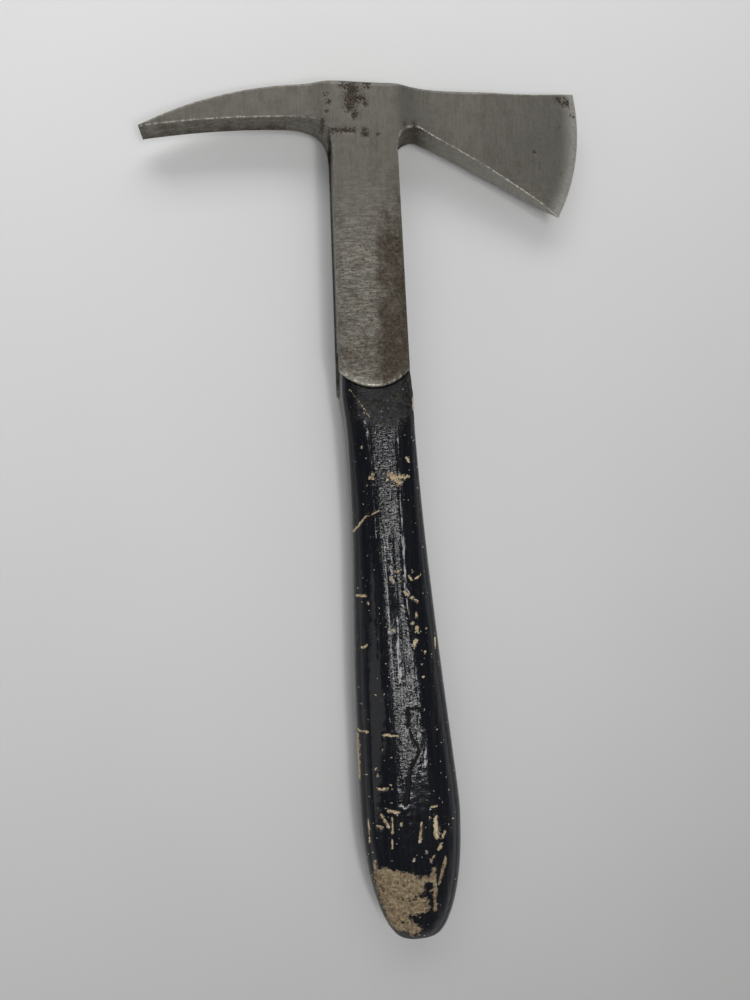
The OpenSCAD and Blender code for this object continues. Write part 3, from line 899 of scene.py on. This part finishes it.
def black_paint():
    """Old crazed black gloss paint, chipped through to tan wood."""
    s = Shader("black_painted_wood")
    ragged = s.math("SUBTRACT", s.noise(1.2, 4, 0.8), 0.5)
    chip = s.math("MULTIPLY_ADD", ragged, 2.6, s.value("chip"))
    # Flecks of paint are left on the bare wood
    fleck = s.ramp(s.noise(0.8, 5, 0.7, s.stretched(1.2, 0.5, 1.2)), 0.58, 0.63)
    height = s.node("ShaderNodeSeparateXYZ", output=1, Vector=s.place)
    fleck = s.math("MULTIPLY", fleck, s.ramp(height, 0, 10, (1.0, 0.0)))
    bare = s.math("SUBTRACT", s.ramp(chip, 0.44, 0.54), fleck, clamp=True)
    grain = s.noise(1.0, 5, 0.7, s.stretched(1.1, 0.15, 1.1))
    wood = s.mix(s.ramp(grain, 0.35, 0.7), (0.38, 0.29, 0.17, 1), (0.58, 0.49, 0.33, 1))
    wood = s.mix(s.ramp(s.noise(0.35, 4, 0.6), 0.5, 0.75), wood, (0.3, 0.19, 0.085, 1))
    wood = s.mix(s.ramp(grain, 0.6, 0.75), wood, (0.14, 0.095, 0.055, 1))
    # The butt, handled and knocked the most, is greyer and dirtier than fresh chips, and scratched across
    low = s.ramp(height, -345, -332, (0.92, 0.0))
    soiled = s.math("MULTIPLY", low, s.ramp(s.noise(0.5, 4, 0.7), 0.3, 0.6, (0.5, 1.0)))
    wood = s.mix(soiled, wood, (0.1, 0.066, 0.032, 1))
    rubbed = s.ramp(s.noise(1.0, 3, 0.65, s.stretched(0.25, 1.1, 1.0)), 0.5, 0.64, (0.0, 0.5))
    wood = s.mix(s.math("MULTIPLY", rubbed, low), wood, (0.42, 0.33, 0.2, 1))
    # The end in the eye is dark with oil
    wood = s.mix(s.ramp(height, 0, 10, (0.0, 0.6)), wood, (0.09, 0.055, 0.028, 1))
    streak = s.noise(1.0, 3, 0.6, s.stretched(0.7, 0.03, 0.7))
    paint = s.mix(s.ramp(streak, 0.45, 0.7), (0.0022, 0.003, 0.006, 1), (0.008, 0.008, 0.009, 1))
    worn = s.ramp(s.noise(0.5, 5, 0.75, s.stretched(1.6, 0.35, 1.6)), 0.6, 0.78)
    paint = s.mix(s.math("MULTIPLY", worn, 0.6), paint, (0.03, 0.024, 0.018, 1))
    crazed = s.value("crazed")
    # Grey scuffs on the crown's worn band, partly a painted highlight.
    scuff_and_painted_highlight = s.ramp(s.noise(1.0, 2, 0.6, s.stretched(0.8, 1.2, 1.0)), 0.55, 0.68)
    paint = s.mix(s.math("MULTIPLY", scuff_and_painted_highlight, s.math("MULTIPLY", crazed, 0.55)), paint, (0.13, 0.125, 0.12, 1))
    speck = s.ramp(s.noise(0.8, 0), 0.8, 0.83)
    paint = s.mix(speck, paint, (0.3, 0.28, 0.24, 1))
    # Oily dirt has gathered just below the straps
    across = s.node("ShaderNodeSeparateXYZ", output=0, Vector=s.place)
    dirt = s.math("MULTIPLY_ADD", s.noise(0.25, 5, 0.8), 36.0, height)
    dirt = s.math("MULTIPLY", s.ramp(dirt, -124, -108, (0.0, 0.8)), s.ramp(across, -14, -2, (0.2, 1.0)))
    dirt = s.math("MULTIPLY", dirt, s.ramp(s.noise(0.3, 4, 0.7), 0.42, 0.56, (0.35, 1.0)))
    grime = s.mix(s.ramp(s.noise(0.7, 4, 0.75), 0.5, 0.62), (0.003, 0.003, 0.004, 1), (0.05, 0.042, 0.026, 1))
    paint = s.mix(dirt, paint, grime)
    tone = s.mix(bare, paint, wood)
    crack = s.ramp(s.value("crack"), 0.3, 0.7)
    tone = s.mix(crack, tone, (0.001, 0.001, 0.001, 1))
    # Fine crazing, strongest where the crown of the grip is worn
    craze = s.noise(0.75, 1.5, 0.6, s.stretched(0.5, 1.5, 0.8))
    patch = s.ramp(s.noise(0.14, 3, 0.6, s.stretched(1.5, 0.6, 1.0)), 0.35, 0.6, (0.45, 1.0))
    craze = s.math("MULTIPLY", craze, s.math("MULTIPLY", patch, s.math("SUBTRACT", 1.0, crack)))
    craze = s.math("MULTIPLY", craze, s.math("MULTIPLY_ADD", crazed, 0.93, 0.07))
    skin = s.bump(craze, 0.42)
    skin = s.bump(s.noise(1.0, 2, 0.5, s.stretched(0.4, 0.03, 0.4)), 0.1, under=skin)
    skin = s.bump(s.math("SUBTRACT", 0.0, bare), 0.1, under=skin)
    rough = s.ramp(s.noise(0.3, 4, 0.7), 0.35, 0.7, (0.07, 0.12))
    rough = s.math("MULTIPLY_ADD", bare, 0.5, rough)
    rough = s.math("MULTIPLY_ADD", s.math("ADD", dirt, crack), 0.8, rough)
    return s.surface_is(Base_Color=tone, Roughness=rough, IOR=1.38, Normal=skin)


def rivet_steel():
    """Rivet heads, a little browner than the straps."""
    s = Shader("rivet_steel")
    fine = s.noise(1.8, 4, 0.65)
    tone = s.mix(s.ramp(s.noise(0.5, 4), 0.35, 0.7), steel_tone(0.2), steel_tone(0.14, 0.08))
    tone = s.mix(s.ramp(fine, 0.56, 0.66), tone, (0.06, 0.047, 0.037, 1))
    rough = s.ramp(fine, 0.3, 0.7, (0.38, 0.55))
    return s.surface_is(Base_Color=tone, Metallic=1.0, Roughness=rough, Normal=s.bump(fine, 0.04))


def wedge_steel():
    """Dull, rust-brown ends of the steel wedges."""
    s = Shader("wedge_steel")
    fine = s.noise(1.2, 5, 0.65)
    tone = s.mix(s.ramp(fine, 0.42, 0.62), (0.22, 0.2, 0.185, 1), (0.12, 0.062, 0.034, 1))
    rough = s.ramp(fine, 0.3, 0.7, (0.45, 0.75))
    return s.surface_is(Base_Color=tone, Metallic=0.7, Roughness=rough, Normal=s.bump(fine, 0.08))


def bare_wood():
    """End grain of the wooden wedge, dirty with oil."""
    s = Shader("bare_hardwood")
    grain = s.noise(1.0, 4, 0.6, s.stretched(1.8, 1.8, 5.0))
    dirt = s.noise(0.3, 4, 0.6)
    tone = s.mix(s.ramp(grain, 0.35, 0.7), (0.36, 0.23, 0.12, 1), (0.52, 0.37, 0.21, 1))
    tone = s.mix(s.ramp(dirt, 0.45, 0.7), tone, (0.1, 0.06, 0.035, 1))
    return s.surface_is(Base_Color=tone, Roughness=0.75, Normal=s.bump(grain, 0.12))


# ---------------------------------------------------------------- the axe

steel = forged_steel()
head = make_head(steel)
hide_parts("axe_head")

haft = make_haft(black_paint())
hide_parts("haft")

rivet_finish = rivet_steel()
rivets = [make_rivet(number, rivet_finish) for number in range(3)]
for rivet, node in zip(rivets, ("upper_rivet", "middle_rivet", "lower_rivet")):
    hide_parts(node)

for piece in [head, haft] + rivets:
    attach(piece, "root")

wedge_finish = wedge_steel()
for node, material in (
    ("haft_wedge", bare_wood()), ("left_steel_wedge", wedge_finish), ("right_steel_wedge", wedge_finish),
):
    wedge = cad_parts[node]
    wedge.data.materials.clear()
    wedge.data.materials.append(material)
    joined = wedge.modifiers.new("joined_faces", "WELD")
    joined.merge_threshold = 0.001 * MM
    rounded = wedge.modifiers.new("worn_corners", "BEVEL")
    rounded.width = 0.25 * MM
    rounded.segments = 3
    rounded.limit_method = "ANGLE"


# ---------------------------------------------------------------- table, lights and camera

def make_table():
    """A pale matt table top with painted light falloff: lighter towards its far left corner, darker towards
    the near right.
    """
    s = Shader("table_white")
    across = s.node("ShaderNodeSeparateXYZ", output=0, Vector=s.place)
    up = s.node("ShaderNodeSeparateXYZ", output=1, Vector=s.place)
    # Painted light falloff: the tone darkens towards the near right of the table
    painted_light_falloff = s.math("MULTIPLY_ADD", up, 0.9, s.math("MULTIPLY", across, -0.45))
    painted_light_falloff = s.math("MULTIPLY_ADD", s.noise(0.012, 3, 0.5), 40.0, painted_light_falloff)
    tone = s.mix(s.ramp(painted_light_falloff, -680, 470), (0.34, 0.34, 0.335, 1), (1.0, 1.0, 0.995, 1))
    s.surface_is(Base_Color=tone, Roughness=0.5)
    reach = 2000
    low = -ROOT.z
    corners = [(-reach, -reach, low), (reach, -reach, low), (reach, reach, low), (-reach, reach, low)]
    table = make_object("table_top", corners, [(0, 1, 2, 3)], s.material)


def add_panel(name, place, toward, width, height, glow):
    """A soft rectangular light at a place in millimetres about the root, glowing evenly."""
    lamp = bpy.data.lights.new(name, "AREA")
    lamp.shape = "RECTANGLE"
    lamp.size = width * MM
    lamp.size_y = height * MM
    lamp.energy = glow * math.pi * lamp.size * lamp.size_y
    holder = bpy.data.objects.new(name, lamp)
    holder.location = to_frame(place)
    aim = Vector(toward) - Vector(place)
    holder.rotation_euler = aim.to_track_quat("-Z", "Y").to_euler()
    bpy.context.scene.collection.objects.link(holder)


CEILING_Z = 1000
CEILING_BARS = 14.5
CEILING_GLOW = 0.2
WALL_GLOW = 0.95


def make_room():
    """Dim ceiling and lighter walls, as the gloss paint and the steel reflect them."""
    world = bpy.data.worlds.new("dim_room")
    world.use_nodes = True
    tree = world.node_tree
    coords = tree.nodes.new("ShaderNodeTexCoord")
    parts = tree.nodes.new("ShaderNodeSeparateXYZ")
    tree.links.new(coords.outputs["Generated"], parts.inputs[0])
    height = tree.nodes.new("ShaderNodeMapRange")
    height.interpolation_type = "SMOOTHSTEP"
    for key, value in (("From Min", 0.1), ("From Max", 0.6), ("To Min", WALL_GLOW), ("To Max", CEILING_GLOW)):
        height.inputs[key].default_value = value
    tree.links.new(parts.outputs["Z"], height.inputs["Value"])
    tree.links.new(height.outputs[0], tree.nodes["Background"].inputs["Strength"])
    tree.nodes["Background"].inputs["Color"].default_value = (0.98, 0.99, 1, 1)
    bpy.context.scene.world = world


make_table()
make_room()
bpy.context.scene.view_settings.view_transform = "Standard"

# A lit ceiling frame straight above, whose reflection is the bright band along the haft:
# left, right, low and high edge of each bar
for number, (left, right, low, high) in enumerate((
    (-20, 0, -560, -190), (190, 290, -560, -190), (95, 190, -190, -60), (10, 420, -650, -530),
)):
    middle = ((left + right) / 2, (low + high) / 2)
    size = (right - left, high - low)
    add_panel(f"ceiling_bar_{number}", (*middle, CEILING_Z), (*middle, 0), *size, CEILING_BARS)
add_panel("left_window", (-620, -560, 950), (0, -250, 0), 340, 700, 0.75)
add_panel("upper_window", (-80, 1150, 1000), (-40, 50, 0), 1900, 700, 2.5)

ROLL = math.radians(-2.9)
TILT = math.radians(-7.2)
camera = bpy.data.cameras.new("photo_camera")
camera.lens = 27
camera.sensor_width = 36
viewer = bpy.data.objects.new("photo_camera", camera)
viewer.rotation_euler = (Matrix.Rotation(TILT, 3, "Y") @ Matrix.Rotation(ROLL, 3, "Z")).to_euler()
viewer.location = to_frame((-47, -170, 354))
bpy.context.scene.collection.objects.link(viewer)
bpy.context.scene.camera = viewer
